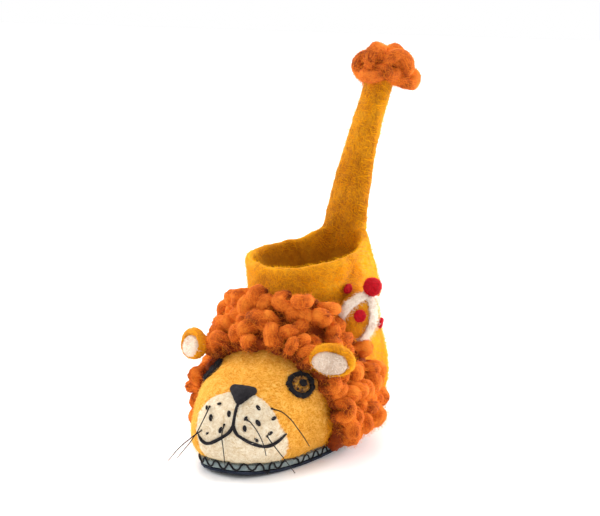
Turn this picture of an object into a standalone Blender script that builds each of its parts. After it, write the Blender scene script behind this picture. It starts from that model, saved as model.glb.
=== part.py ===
"""A child's ankle slipper of felted wool with a lion's face, mane, ears, crown and tail: the left shoe.

Metres. +Z is up, the toe points along -Y, and +X is the wearer's left, which is the outer side.
The origin lies on the floor under the middle of the upper's length.
"""

import math
import random

import bmesh
import bpy
from mathutils import Matrix, Vector
from mathutils.bvhtree import BVHTree

# The felt boot, over its outside
UPPER_LENGTH = 0.204
BALL_WIDTH = 0.094
HEEL_WIDTH = 0.092
TOE_HEIGHT = 0.060
COLLAR_HEIGHT = 0.124
COLLAR_LENGTH = 0.106
COLLAR_WIDTH = 0.092
COLLAR_CENTRE_Y = 0.030
RIM_SLOPE = 0.002
RIM_ROUNDING = 0.0014
FELT = 0.0045
TOE_TURN = 0.005
WAIST = 0.15

# The layers under the foot
OUTSOLE = 0.0022
MIDSOLE = 0.0042
INSOLE = 0.003
SOLE_LIP = 0.0006
SOLE_ROUNDING = 0.0014
TOE_SPRING = 0.004
SPRING_START = 0.052
GAP = 0.0003
SOLE_TOP = OUTSOLE + MIDSOLE + 2 * GAP

# The tail that grows out of the back of the collar
TAIL_RISE = 0.131
TAIL_WIDTH = 0.034
TAIL_DEPTH = 0.017
TAIL_LEAN_OUT = 0.020
TAIL_LEAN_BACK = 0.030
FLARE_RISE = 0.016
FLARE_ANGLE = 0.50
FLARE_ANGLE_OUTER = 0.75

# The collar's outer shoulder: how far it stands up and leans in, and where round the rim
SHOULDER_RISE = 0.0075
SHOULDER_LEAN = 0.012
SHOULDER_CREST = 1.40
SHOULDER_CREST_SPREAD = 0.80
SHOULDER_FOLD = 1.95
SHOULDER_FOLD_SPREAD = 0.60

# The mane: a band of fat wool loops over the instep, from sole to sole
MANE_FRONT_LOW = -0.031
MANE_FRONT_HIGH = -0.052
MANE_BACK_LOW = 0.026
MANE_BACK_HIGH = -0.012
MANE_LOW = 0.008
MANE_TOP = 0.104
MANE_PAD = 0.0064
PAD_BALL = 0.0064
PAD_SPACING = 0.0058
PAD_MARGIN = 0.004
LOOP_MARGIN = 0.003
LOOP_RADIUS = 0.0054
LOOP_REACH = 0.0056
LOOP_SPACING = 0.0106
INNER_DEPTH = 0.005
FUR_GAP = 0.0006

# Sewn-on pieces
EAR_WIDTH = 0.032
EAR_HEIGHT = 0.0215
EAR_DEPTH = 0.010
EAR_TILT = 0.25
EAR_OUTER_AT = Vector((0.0475, -0.041, 0.0712))
EAR_INNER_AT = Vector((-0.052, -0.046, 0.072))
CROWN_AT = Vector((0.041, 0.010, 0.0895))
CROWN_POLE = Vector((0.524, -0.040, 0.851))
CROWN_FRONT = Vector((-0.136, -0.970, 0.210))
CROWN_SIDE = Vector((0.890, -0.310, 0.335))
CROWN_RADIUS = 0.017
CROWN_STRAP = 0.0062
CROWN_STRAP_THICK = 0.0019
CROWN_BALL = 0.0064
CROWN_DOTS = (
    (Vector((0.55, -0.81, 0.20)), 0.0038),
    (Vector((0.940, 0.22, -0.24)), 0.0035),
)
BOOT_DOT_AT = Vector((0.042, 0.002, 0.1085))
BOOT_DOT_RADIUS = 0.0031
NOSE_AT = Vector((0.0058, -0.0862, 0.0560))
NOSE_CORNERS = ((-0.0060, 0.0016), (0.0006, -0.0072), (0.0066, 0.0013))
NOSE_ROUNDING = 0.0026
NOSE_THICK = 0.0024
EYES_AT = (Vector((0.0335, -0.0570, 0.0575)), Vector((-0.0345, -0.0535, 0.0580)))
EYE_RADIUS = 0.0094
EYE_STRETCH = 1.24
EYE_ROOM = 1.06
EYE_THICK = 0.0012
PATCH_GAP = 0.0005
FOOT_DROP = 0.005

AROUND = 42
SPAN_STEPS = 2

FOOT_COLUMNS = ("height", "toe", "heel", "ball", "rear", "blunt")
FOOT_RINGS = (
    (0.00, 0.920, 0.945, 0.830, 0.830, 0.74),
    (0.12, 0.975, 0.990, 0.935, 0.920, 0.70),
    (0.30, 1.000, 1.045, 1.000, 1.000, 0.69),
    (0.51, 0.990, 1.055, 0.990, 1.020, 0.70),
    (0.71, 0.955, 1.040, 0.970, 1.010, 0.71),
    (0.87, 0.885, 1.010, 0.935, 0.980, 0.73),
    (1.00, 0.775, 0.970, 0.880, 0.955, 0.76),
)
SHAFT_COLUMNS = ("reach", "back", "rise", "rise_back", "fore", "rear", "blunt")
SHAFT_RINGS = (
    (0.30, 0.17, 0.095, 0.15, 0.83, 0.92, 0.80),
    (0.56, 0.34, 0.215, 0.30, 0.80, 0.92, 0.86),
    (0.76, 0.51, 0.370, 0.46, 0.80, 0.93, 0.95),
    (0.91, 0.70, 0.560, 0.63, 0.89, 0.955, 0.99),
    (0.98, 0.88, 0.780, 0.81, 0.97, 0.98, 1.00),
    (1.00, 1.00, 1.000, 1.00, 1.00, 1.00, 1.00),
)
TAIL_COLUMNS = ("up", "width", "depth")
TAIL_RINGS = (
    (-0.16, 0.60, 0.16),
    (-0.05, 0.90, 0.22),
    (0.04, 1.00, 0.50),
    (0.13, 0.99, 0.82),
    (0.24, 0.90, 0.97),
    (0.45, 0.78, 1.00),
    (0.70, 0.69, 1.00),
    (0.90, 0.64, 0.98),
    (0.97, 0.52, 0.80),
    (1.00, 0.28, 0.42),
)
EAR_COLUMNS = ("spread", "flat", "front", "drop", "slide")
EAR_PROFILE = (
    (0.45, 1.00, -0.50, 0.00, 0.00),
    (0.80, 1.00, -0.38, 0.00, 0.00),
    (0.97, 1.00, -0.10, 0.00, 0.00),
    (1.00, 1.00, 0.15, 0.01, 0.00),
    (0.96, 0.98, 0.38, 0.04, 0.02),
    (0.86, 0.93, 0.48, 0.09, 0.04),
    (0.79, 0.89, 0.38, 0.12, 0.055),
    (0.76, 0.87, 0.16, 0.13, 0.06),
    (0.42, 0.87, 0.10, 0.13, 0.06),
)
EAR_HULL = EAR_PROFILE[:6]
PAD_PROFILE = (
    (0.42, 0.87, 0.15, 0.13, 0.06),
    (0.71, 0.87, 0.20, 0.13, 0.06),
    (0.735, 0.87, 0.30, 0.13, 0.06),
    (0.65, 0.87, 0.40, 0.13, 0.06),
    (0.32, 0.87, 0.46, 0.13, 0.06),
)


def table(columns, rows):
    return [dict(zip(columns, row)) for row in rows]


def mix(a, b, share):
    return a + (b - a) * share


def smooth_step(share):
    share = min(1.0, max(0.0, share))
    return share * share * (3 - 2 * share)


def hump(value, centre, width):
    return math.exp(-(((value - centre) / width) ** 2))


def spring(y):
    """How far the sole's toe lifts off the floor at this place along the foot."""
    run = UPPER_LENGTH / 2 - SPRING_START
    return TOE_SPRING * max(0.0, (-y - SPRING_START) / run) ** 2


def upper_rows():
    """Each ring of the boot from the sole's edge to the rim, resolved to metres."""
    half = UPPER_LENGTH / 2
    rows = []
    for ring in table(FOOT_COLUMNS, FOOT_RINGS):
        height = mix(SOLE_TOP, TOE_HEIGHT, ring["height"])
        rows.append(
            {
                "front_y": -half * ring["toe"],
                "front_z": height,
                "back_y": half * ring["heel"],
                "back_z": height,
                "fore": BALL_WIDTH / 2 * ring["ball"],
                "rear": HEEL_WIDTH / 2 * ring["rear"],
                "blunt": ring["blunt"],
                "foot": 1 - ring["height"],
            }
        )
    top = rows[-1]
    collar_front = COLLAR_CENTRE_Y - COLLAR_LENGTH / 2
    collar_back = COLLAR_CENTRE_Y + COLLAR_LENGTH / 2
    for ring in table(SHAFT_COLUMNS, SHAFT_RINGS):
        rows.append(
            {
                "front_y": mix(top["front_y"], collar_front, ring["reach"]),
                "front_z": mix(TOE_HEIGHT, COLLAR_HEIGHT, ring["rise"]),
                "back_y": mix(top["back_y"], collar_back, ring["back"]),
                "back_z": mix(TOE_HEIGHT, COLLAR_HEIGHT + RIM_SLOPE, ring["rise_back"]),
                "fore": COLLAR_WIDTH / 2 * ring["fore"],
                "rear": COLLAR_WIDTH / 2 * ring["rear"],
                "blunt": ring["blunt"],
                "foot": 0.0,
            }
        )
    return rows


def between_rows(rows, place):
    """The row at a place along the table, on a smooth curve through its rows."""
    first = min(int(place), len(rows) - 2)
    share = place - first
    before = rows[max(first - 1, 0)]
    start, end = rows[first], rows[first + 1]
    after = rows[min(first + 2, len(rows) - 1)]
    found = {}
    for key in start:
        slope_in = (end[key] - before[key]) / 2
        slope_out = (after[key] - start[key]) / 2
        found[key] = (
            (2 * share**3 - 3 * share**2 + 1) * start[key]
            + (share**3 - 2 * share**2 + share) * slope_in
            + (-2 * share**3 + 3 * share**2) * end[key]
            + (share**3 - share**2) * slope_out
        )
    return found


def ring_point(row, angle, lift=0.0, lean=0.0):
    """A point on a ring of the boot. Angle 0 is the toe and a quarter turn the outer side."""
    along = (1 + math.cos(angle)) / 2
    side = math.sin(angle)
    half = mix(row["rear"], row["fore"], smooth_step((along - 0.15) / 0.55))
    inner = 1.0 if side < 0 else 0.35
    half *= 1 - WAIST * inner * row["foot"] * hump(along, 0.42, 0.16)
    turn = -TOE_TURN * row["foot"] * smooth_step((along - 0.5) / 0.5)
    x = math.copysign(half * abs(side) ** row["blunt"], side) + turn
    y = mix(row["back_y"], row["front_y"], along)
    z = mix(row["back_z"], row["front_z"], along)
    z += spring(y) * row["foot"]
    turned = math.remainder(angle, 2 * math.pi)
    spread = FLARE_ANGLE_OUTER if turned > 0 else FLARE_ANGLE
    z += lift * FLARE_RISE * hump(math.pi - abs(turned), 0, spread)
    z += lift * SHOULDER_RISE * hump(angle, SHOULDER_CREST, SHOULDER_CREST_SPREAD)
    x -= lean * SHOULDER_LEAN * hump(angle, SHOULDER_FOLD, SHOULDER_FOLD_SPREAD)
    return Vector((x, y, z))


def upper_rings():
    rows = upper_rows()
    spans = len(rows) - 1
    rings = []
    for step in range(spans * SPAN_STEPS + 1):
        at = step / SPAN_STEPS
        row = between_rows(rows, at)
        lift = smooth_step((at - (spans - 3.5)) / 3.5)
        lean = smooth_step((at - (spans - 2.0)) / 2.0)
        angles = [2 * math.pi * k / AROUND for k in range(AROUND)]
        rings.append([ring_point(row, angle, lift, lean) for angle in angles])
    return rings


def ring_normals(rings):
    """Outward directions at every ring point, level at both end rings so the edges stay flat."""
    normals = []
    last = len(rings) - 1
    for i, ring in enumerate(rings):
        lower, upper = rings[max(i - 1, 0)], rings[min(i + 1, last)]
        found = []
        for k in range(len(ring)):
            around = ring[(k + 1) % len(ring)] - ring[k - 1]
            out = around.cross(upper[k] - lower[k])
            if i in (0, last):
                out.z = 0
            found.append(out.normalized())
        normals.append(found)
    return normals


def offset_rings(rings, distance):
    return [
        [point + normal * distance for point, normal in zip(ring, normals)]
        for ring, normals in zip(rings, ring_normals(rings))
    ]


def add_loft(bm, rings, ends="open"):
    """Faces through rings of equal counts. The ends are open, joined, or capped by strips or by fans."""
    grid = [[bm.verts.new(point) for point in ring] for ring in rings]
    count = len(rings[0])
    pairs = list(zip(grid, grid[1:]))
    if ends == "joined":
        pairs.append((grid[-1], grid[0]))
    for lower, upper in pairs:
        for k in range(count):
            after = (k + 1) % count
            bm.faces.new((lower[k], lower[after], upper[after], upper[k]))
    if ends == "strips":
        for ring in (grid[0], grid[-1]):
            for k in range(count // 2):
                corners = (ring[k], ring[k + 1], ring[-k - 1], ring[-k % count])
                bm.faces.new(list(dict.fromkeys(corners)))
    if ends == "fans":
        for ring in (grid[0], grid[-1]):
            centre = bm.verts.new(sum((v.co for v in ring), Vector()) / count)
            for k in range(count):
                bm.faces.new((ring[k], ring[(k + 1) % count], centre))


def to_object(name, bm):
    bmesh.ops.recalc_face_normals(bm, faces=bm.faces)
    mesh = bpy.data.meshes.new(name)
    bm.to_mesh(mesh)
    bm.free()
    made = bpy.data.objects.new(name, mesh)
    made.data.shade_smooth()
    return made


def loft(name, rings, ends):
    bm = bmesh.new()
    add_loft(bm, rings, ends)
    return to_object(name, bm)


def place(made, collection, material=None):
    collection.objects.link(made)
    if material:
        made.data.materials.append(material)
    return made


def as_cutter(made, collection):
    collection.objects.link(made)
    made.hide_render = True
    made.display_type = "WIRE"
    return made


def combine(made, tool, operation):
    step = made.modifiers.new(tool.name, "BOOLEAN")
    step.operation = operation
    step.solver = "EXACT"
    step.object = tool


def surface(name, colour, roughness):
    made = bpy.data.materials.new(name)
    made.use_nodes = True
    shader = made.node_tree.nodes["Principled BSDF"]
    shader.inputs["Base Color"].default_value = (*colour, 1)
    shader.inputs["Roughness"].default_value = roughness
    shader.inputs["Metallic"].default_value = 0
    return made


def tail_axis(up):
    lean = max(up, 0.0) ** 1.5
    root_y = COLLAR_CENTRE_Y + COLLAR_LENGTH / 2 - FELT / 2
    root_z = COLLAR_HEIGHT + RIM_SLOPE
    return Vector((TAIL_LEAN_OUT * lean, root_y + TAIL_LEAN_BACK * lean, root_z + TAIL_RISE * up))


def tail_rings(grow=0.0, from_up=-1.0):
    rings = []
    count = 16
    for row in table(TAIL_COLUMNS, TAIL_RINGS):
        if row["up"] < from_up:
            continue
        centre = tail_axis(row["up"])
        if row["up"] == 1.0:
            centre.z += grow
        ring = []
        for k in range(count):
            angle = 2 * math.pi * k / count
            across = math.sin(angle) * (TAIL_WIDTH / 2 * row["width"] + grow)
            through = -math.cos(angle) * (TAIL_DEPTH / 2 * row["depth"] + grow)
            ring.append(centre + Vector((across, through, 0)))
        rings.append(ring)
    return rings


def make_upper(parts, cutters, felt, rings):
    """The hollow boot with a flat lower edge and a rounded rim, and the tail felted on."""
    inner = offset_rings(rings, -FELT)
    normals = ring_normals(rings)[-1]
    drop = Vector((0, 0, RIM_ROUNDING))
    crest_out = [p - n * FELT * 0.28 for p, n in zip(rings[-1], normals)]
    crest_in = [p - n * FELT * 0.72 for p, n in zip(rings[-1], normals)]
    outside = rings[:-1] + [[p - drop for p in rings[-1]]]
    inside = inner[:-1] + [[p - drop for p in inner[-1]]]
    wall = outside + [crest_out, crest_in] + inside[::-SPAN_STEPS]
    upper = place(loft("upper", wall, "joined"), parts, felt)
    tail = as_cutter(loft("tail_core", tail_rings(), "fans"), cutters)
    combine(upper, tail, "UNION")
    return upper


def sole_ring(grow, height):
    """The boot's lowest outline, grown by a margin, at a height that follows the toe's spring."""
    row = upper_rows()[0]
    edge = [ring_point(row, 2 * math.pi * k / AROUND) for k in range(AROUND)]
    ring = []
    for k, point in enumerate(edge):
        around = edge[(k + 1) % AROUND] - edge[k - 1]
        out = Vector((around.y, -around.x, 0)).normalized()
        grown = point + out * grow
        ring.append(Vector((grown.x, grown.y, height + spring(grown.y))))
    return ring


def make_sole(parts, suede, grey, lining):
    middle = OUTSOLE + GAP
    layers = (
        (
            "outsole",
            suede,
            (
                (SOLE_LIP - SOLE_ROUNDING, 0),
                (SOLE_LIP - SOLE_ROUNDING * 0.3, SOLE_ROUNDING * 0.3),
                (SOLE_LIP, SOLE_ROUNDING),
                (SOLE_LIP, OUTSOLE),
            ),
        ),
        ("midsole", grey, ((SOLE_LIP, middle), (SOLE_LIP, middle + MIDSOLE))),
        (
            "insole",
            lining,
            ((-FELT - GAP, SOLE_TOP), (-FELT - GAP, SOLE_TOP + INSOLE)),
        ),
    )
    for name, material, edges in layers:
        rings = [sole_ring(grow, height) for grow, height in edges]
        place(loft(name, rings, "strips"), parts, material)


def add_ball(bm, centre, radius):
    made = bmesh.ops.create_icosphere(bm, subdivisions=1, radius=radius)
    bmesh.ops.translate(bm, verts=made["verts"], vec=centre)


def add_loop(bm, centre, along, bulge, reach, radius):
    """One fat loop of wool: a bent bean that lies along a direction and bulges outward."""
    stations = (-1.0, -0.55, 0.0, 0.55, 1.0)
    points = [centre + along * reach * s - bulge * reach * 0.45 * s * s for s in stations]
    for s, point in zip(stations, points):
        add_ball(bm, point, radius * (1 - 0.10 * abs(s)))


def settle(made, cell, target):
    """Fuse a heap of closed shapes into one skin, thin it to a number of triangles, keep its main body."""
    fuse = made.modifiers.new("fuse", "REMESH")
    fuse.mode = "VOXEL"
    fuse.voxel_size = cell
    bpy.context.view_layer.update()
    fused = made.evaluated_get(bpy.context.evaluated_depsgraph_get()).to_mesh()
    triangles = sum(len(face.vertices) - 2 for face in fused.polygons)
    thin = made.modifiers.new("thin", "DECIMATE")
    thin.ratio = min(1.0, target / triangles)
    bpy.context.view_layer.update()
    thinned = made.evaluated_get(bpy.context.evaluated_depsgraph_get()).to_mesh()
    bm = bmesh.new()
    bm.from_mesh(thinned)
    made.modifiers.clear()
    keep_main_body(bm)
    bm.to_mesh(made.data)
    bm.free()
    made.data.shade_smooth()


def keep_main_body(bm):
    left = set(bm.verts)
    bodies = []
    while left:
        start = left.pop()
        body = {start}
        edge = [start]
        while edge:
            here = edge.pop()
            for link in here.link_edges:
                other = link.other_vert(here)
                if other not in body:
                    body.add(other)
                    edge.append(other)
        left -= body
        bodies.append(body)
    bodies.sort(key=len)
    spare = [vertex for body in bodies[:-1] for vertex in body]
    bmesh.ops.delete(bm, geom=spare, context="VERTS")


def in_mane(point, margin):
    """Whether a point of the boot lies under the mane, with a margin off its edges."""
    up = (point.z - MANE_LOW) / (MANE_TOP - MANE_LOW)
    front = mix(MANE_FRONT_LOW, MANE_FRONT_HIGH, min(1.0, up * 1.5)) + margin
    back = mix(MANE_BACK_LOW, MANE_BACK_HIGH, max(up, 0.0) ** 1.8) - margin
    return MANE_LOW < point.z < MANE_TOP and front < point.y < back


def mane_roots(rows, generator, spacing, margin):
    """Places on the boot under the mane, scattered no nearer to each other than the spacing."""
    roots = []
    for _ in range(9000):
        at = generator.uniform(0.3, len(rows) - 2.0)
        angle = generator.uniform(0, 2 * math.pi)
        row = between_rows(rows, at)
        point = ring_point(row, angle)
        if not in_mane(point, margin):
            continue
        if any((point - other[0]).length < spacing for other in roots):
            continue
        around = ring_point(row, angle + 0.02) - point
        rise = ring_point(between_rows(rows, at + 0.02), angle) - point
        out = around.cross(rise).normalized()
        roots.append((point, out, rise.normalized()))
    return roots


def inner_depth(point):
    """How much thicker the mane is on the inner side of the foot."""
    return INNER_DEPTH * smooth_step(-point.x / 0.02)


def make_mane(parts, wool, rows):
    generator = random.Random(43)
    bm = bmesh.new()
    for point, out, _ in mane_roots(rows, generator, PAD_SPACING, PAD_MARGIN):
        for lift in (0.0, inner_depth(point)):
            centre = point + out * (MANE_PAD - PAD_BALL + lift)
            centre.z = max(centre.z, MANE_LOW + PAD_BALL)
            add_ball(bm, centre, PAD_BALL)
    for side in (1, -1):
        across, up, face, ear = ear_frame(side)
        root = ear - up * EAR_HEIGHT * 0.35 - face * EAR_DEPTH * 0.6
        for share in (0.0, 0.35, 0.7):
            add_ball(bm, root.lerp(Vector((0.030 * side, root.y, 0.058)), share), 0.008)
        for share in (-0.30, 0.06, 0.40):
            spot = ear + across * side * EAR_WIDTH * share - up * EAR_HEIGHT * 0.60 + face * 0.0015
            add_loop(bm, spot, across, face, LOOP_REACH * 0.35, LOOP_RADIUS * 0.85)
    for point, out, rise in mane_roots(rows, generator, LOOP_SPACING, LOOP_MARGIN):
        spin = Matrix.Rotation(generator.gauss(0.0, 0.9), 3, out)
        along = (spin @ rise + out * generator.uniform(-0.25, 0.45)).normalized()
        reach = LOOP_REACH * generator.uniform(0.8, 1.2)
        radius = LOOP_RADIUS * generator.uniform(0.9, 1.12)
        depth = MANE_PAD + inner_depth(point) + generator.uniform(0.0020, 0.0085)
        centre = point + out * depth
        lowest = centre.z - abs(along.z) * reach - radius
        centre.z += max(0.0, MANE_LOW - lowest)
        add_loop(bm, centre, along, out, reach, radius)
    mane = place(to_object("mane", bm), parts, wool)
    settle(mane, 0.0021, 3300)
    return mane


def make_tuft(parts, cutters, wool):
    """The tail's knot of looped wool cords around the tip."""
    generator = random.Random(5)
    bm = bmesh.new()
    heart = tail_axis(0.93)
    add_ball(bm, heart, 0.012)
    for turn in range(11):
        angle = 2 * math.pi * turn / 11 + generator.uniform(-0.15, 0.15)
        height = (-0.006, 0.006, 0.0)[turn % 3]
        out = Vector((math.cos(angle), 0.75 * math.sin(angle), 0.1 * (turn % 3))).normalized()
        spin = Matrix.Rotation(generator.uniform(-1.2, 1.2), 3, out)
        along = spin @ Vector((0, 0, 1))
        wide = 0.0145 + 0.0040 * abs(math.cos(angle))
        centre = heart + out * wide + Vector((0, 0, height))
        add_loop(bm, centre, along, out, 0.0078, 0.0054)
    for lean in (-0.6, 0.1, 0.7):
        out = Vector((lean, 0.3 - abs(lean), 1)).normalized()
        add_loop(bm, heart + out * 0.0120, Vector((1, lean, 0)).normalized(), out, 0.0080, 0.0054)
    tuft = place(to_object("tail_tuft", bm), parts, wool)
    settle(tuft, 0.0018, 1050)
    hole = as_cutter(loft("tail_hole", tail_rings(FUR_GAP, 0.4), "fans"), cutters)
    combine(tuft, hole, "DIFFERENCE")


def ear_frame(side):
    """An ear's width, height and facing directions and its centre, outer side (1) or inner (-1)."""
    face = Vector((0.60 * side, -0.70, 0.35)).normalized()
    across = Vector((0, 0, 1)).cross(face).normalized()
    up = face.cross(across)
    tilt = Matrix.Rotation(-EAR_TILT * side, 3, face)
    centre = EAR_OUTER_AT if side > 0 else EAR_INNER_AT
    return tilt @ across, tilt @ up, face, centre


def ear_rings(side, profile, grow=0.0):
    across, up, face, centre = ear_frame(side)
    count = 18
    rings = []
    for row in table(EAR_COLUMNS, profile):
        ring = []
        for k in range(count):
            angle = 2 * math.pi * k / count
            wide = math.cos(angle) * (EAR_WIDTH / 2 * row["spread"] + grow)
            wide -= side * EAR_WIDTH * row["slide"]
            high = math.sin(angle) * (EAR_HEIGHT / 2 * row["spread"] * row["flat"] + grow)
            high -= EAR_HEIGHT * row["drop"]
            deep = EAR_DEPTH * row["front"] + math.copysign(grow, row["front"])
            curl = EAR_DEPTH * 0.25 * row["spread"] ** 2 * math.sin(angle)
            ring.append(centre + across * wide + up * high + face * (deep + curl))
        rings.append(ring)
    return rings


def make_ears(parts, cutters, felt, pale, mane):
    for side, name in ((1, "outer"), (-1, "inner")):
        place(loft("ear_" + name, ear_rings(side, EAR_PROFILE), "fans"), parts, felt)
        place(loft("ear_pad_" + name, ear_rings(side, PAD_PROFILE), "fans"), parts, pale)
        room = loft("ear_room_" + name, ear_rings(side, EAR_HULL, FUR_GAP), "fans")
        combine(mane, as_cutter(room, cutters), "DIFFERENCE")


def circle_outline(radius, count=18):
    turns = [2 * math.pi * k / count for k in range(count)]
    return [(radius * math.cos(turn), radius * math.sin(turn)) for turn in turns]


def rounded_outline(corners, radius, steps=5, per_side=4):
    """A polygon's outline with an arc around each of its corners and even points along its sides."""
    outline = []
    count = len(corners)
    for i in range(count):
        before, here, after = (Vector(corners[(i + step) % count]) for step in (-1, 0, 1))
        arrive = here - before
        leave = after - here
        start = math.atan2(-arrive.x, arrive.y)
        sweep = math.atan2(arrive.cross(leave), arrive.dot(leave))
        for k in range(steps):
            turn = start + sweep * k / (steps - 1)
            outline.append((here.x + radius * math.cos(turn), here.y + radius * math.sin(turn)))
        side = leave.normalized()
        edge = here + Vector((side.y, -side.x)) * radius
        for k in range(1, per_side):
            outline.append(tuple(edge + leave * k / per_side))
    return outline


def skin_tree(rings):
    count = len(rings[0])
    points = [point for ring in rings for point in ring]
    faces = []
    for i in range(len(rings) - 1):
        for k in range(count):
            after = (k + 1) % count
            low, high = i * count, (i + 1) * count
            faces.append((low + k, low + after, high + after, high + k))
    return BVHTree.FromPolygons(points, faces)


def patch_rings(tree, about, outline, thick):
    """A puffed patch laid on the boot around a place on it: its underside, edge and crown."""
    centre, out, _, _ = tree.find_nearest(about)
    across = Vector((0, 0, 1)).cross(out).normalized()
    up = out.cross(across)
    steps = (
        (0.28, 0.0),
        (0.64, 0.0),
        (0.97, 0.0),
        (1.00, 0.45),
        (0.90, 0.85),
        (0.45, 1.0),
    )
    rings = []
    for share, rise in steps:
        ring = []
        for a, b in outline:
            above = centre + across * a * share + up * b * share + out * 0.02
            found, normal, _, _ = tree.ray_cast(above, -out)
            ring.append(found + normal * (PATCH_GAP + thick * rise))
        rings.append(ring)
    return rings


def make_face(parts, cutters, black, red, tree, mane):
    nose = rounded_outline(NOSE_CORNERS, NOSE_ROUNDING)
    place(loft("nose", patch_rings(tree, NOSE_AT, nose, NOSE_THICK), "fans"), parts, black)
    for about, name in zip(EYES_AT, ("eye_outer", "eye_inner")):
        eye_edge = [(a * EYE_STRETCH, b) for a, b in circle_outline(EYE_RADIUS)]
        eye = patch_rings(tree, about, eye_edge, EYE_THICK)
        place(loft(name, eye, "fans"), parts, black)
        wide = [(a * EYE_ROOM, b * EYE_ROOM) for a, b in eye_edge]
        room = loft(name + "_room", patch_rings(tree, about, wide, EYE_THICK + FUR_GAP), "fans")
        combine(mane, as_cutter(room, cutters), "DIFFERENCE")
    dot = patch_rings(tree, BOOT_DOT_AT, circle_outline(BOOT_DOT_RADIUS, 12), 0.0014)
    place(loft("crown_dot_top", dot, "fans"), parts, red)


def globe(name, centre, radius, fine):
    bm = bmesh.new()
    made = bmesh.ops.create_uvsphere(bm, u_segments=fine * 2, v_segments=fine, radius=radius)
    bmesh.ops.translate(bm, verts=made["verts"], vec=centre)
    return to_object(name, bm)


def strap_rings(toward, start, end, low, high):
    """A band over the crown's pole toward one side, from one angle off the pole to another."""
    fall = (toward - CROWN_POLE * toward.dot(CROWN_POLE)).normalized()
    side = CROWN_POLE.cross(fall)
    half = CROWN_STRAP / 2
    middle = (low + high) / 2
    section = ((low, -0.9), (low, 0.9), (middle, 1.05), (high, 0.6), (high, -0.6), (middle, -1.05))
    steps = round((end - start) / 13)
    rings = []
    for k in range(steps + 1):
        angle = math.radians(mix(start, end, k / steps))
        out = CROWN_POLE * math.cos(angle) + fall * math.sin(angle)
        spots = [out * (CROWN_RADIUS + lift) + side * half * share for lift, share in section]
        rings.append([CROWN_AT + spot for spot in spots])
    return rings


def make_crown(parts, cutters, felt, white, red, body, mane):
    dome = place(globe("crown_dome", CROWN_AT, CROWN_RADIUS, 10), parts, felt)
    combine(dome, body, "DIFFERENCE")
    high = GAP + CROWN_STRAP_THICK
    straps = place(
        loft("crown_straps", strap_rings(CROWN_FRONT, -112, 112, GAP, high), "fans"), parts, white
    )
    short = strap_rings(CROWN_SIDE, -6, 122, GAP + 0.00005, high - 0.0001)
    combine(straps, as_cutter(loft("crown_strap_side", short, "fans"), cutters), "UNION")
    combine(straps, body, "DIFFERENCE")
    top = CROWN_RADIUS + high + GAP
    seat = CROWN_AT + CROWN_POLE * (top + CROWN_BALL - 0.0012)
    ball = place(globe("crown_ball", seat, CROWN_BALL, 7), parts, red)
    combine(ball, as_cutter(globe("crown_top", CROWN_AT, top, 16), cutters), "DIFFERENCE")
    for (out, radius), name in zip(CROWN_DOTS, ("crown_dot_front", "crown_dot_back")):
        out = out.normalized()
        side = out.orthogonal().normalized()
        across = out.cross(side)
        rings = []
        for share, lift in ((0.9, 0.0), (1.0, 0.0007), (0.8, 0.0014)):
            spots = circle_outline(radius * share, 12)
            floor = CROWN_AT + out * (CROWN_RADIUS + PATCH_GAP + lift)
            rings.append([floor + side * a + across * b for a, b in spots])
        place(loft(name, rings, "fans"), parts, red)
    room = as_cutter(globe("crown_room", CROWN_AT, top + FUR_GAP, 12), cutters)
    combine(mane, room, "DIFFERENCE")


def main():
    for old in list(bpy.data.objects):
        bpy.data.objects.remove(old)
    parts = bpy.data.collections.new("lion_slipper")
    cutters = bpy.data.collections.new("cutters")
    bpy.context.scene.collection.children.link(parts)
    bpy.context.scene.collection.children.link(cutters)
    felt = surface("golden_felt", (0.80, 0.42, 0.04), 0.95)
    suede = surface("dark_suede", (0.03, 0.035, 0.05), 0.9)
    grey = surface("grey_felt", (0.30, 0.32, 0.34), 0.95)
    pale = surface("pale_felt", (0.72, 0.60, 0.46), 0.95)
    white = surface("white_felt", (0.86, 0.80, 0.68), 0.95)
    red = surface("red_felt", (0.62, 0.01, 0.03), 0.95)
    black = surface("black_felt", (0.02, 0.018, 0.02), 0.95)
    wool = surface("russet_wool", (0.66, 0.13, 0.02), 0.95)
    rows = upper_rows()
    rings = upper_rings()
    make_upper(parts, cutters, felt, rings)
    make_sole(parts, suede, grey, pale)
    mane = make_mane(parts, wool, rows)
    skin = offset_rings(rings, FUR_GAP)
    foot = [Vector((p.x, p.y, -FOOT_DROP)) for p in skin[0]]
    body = as_cutter(loft("boot_body", [foot] + skin, "fans"), cutters)
    combine(mane, body, "DIFFERENCE")
    make_ears(parts, cutters, felt, pale, mane)
    make_crown(parts, cutters, felt, white, red, body, mane)
    make_face(parts, cutters, black, red, skin_tree(rings), mane)
    make_tuft(parts, cutters, wool)


main()
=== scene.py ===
"""A felted slipper boot with a lion's head on its toe, dressed over its measured solids.

Lengths are metres. The toe points to -Y, the wearer's outer side is +X and +Z is up.
"""

import math
import random

import bpy
import numpy as np
from mathutils import Matrix, Vector
from mathutils.bvhtree import BVHTree


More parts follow.
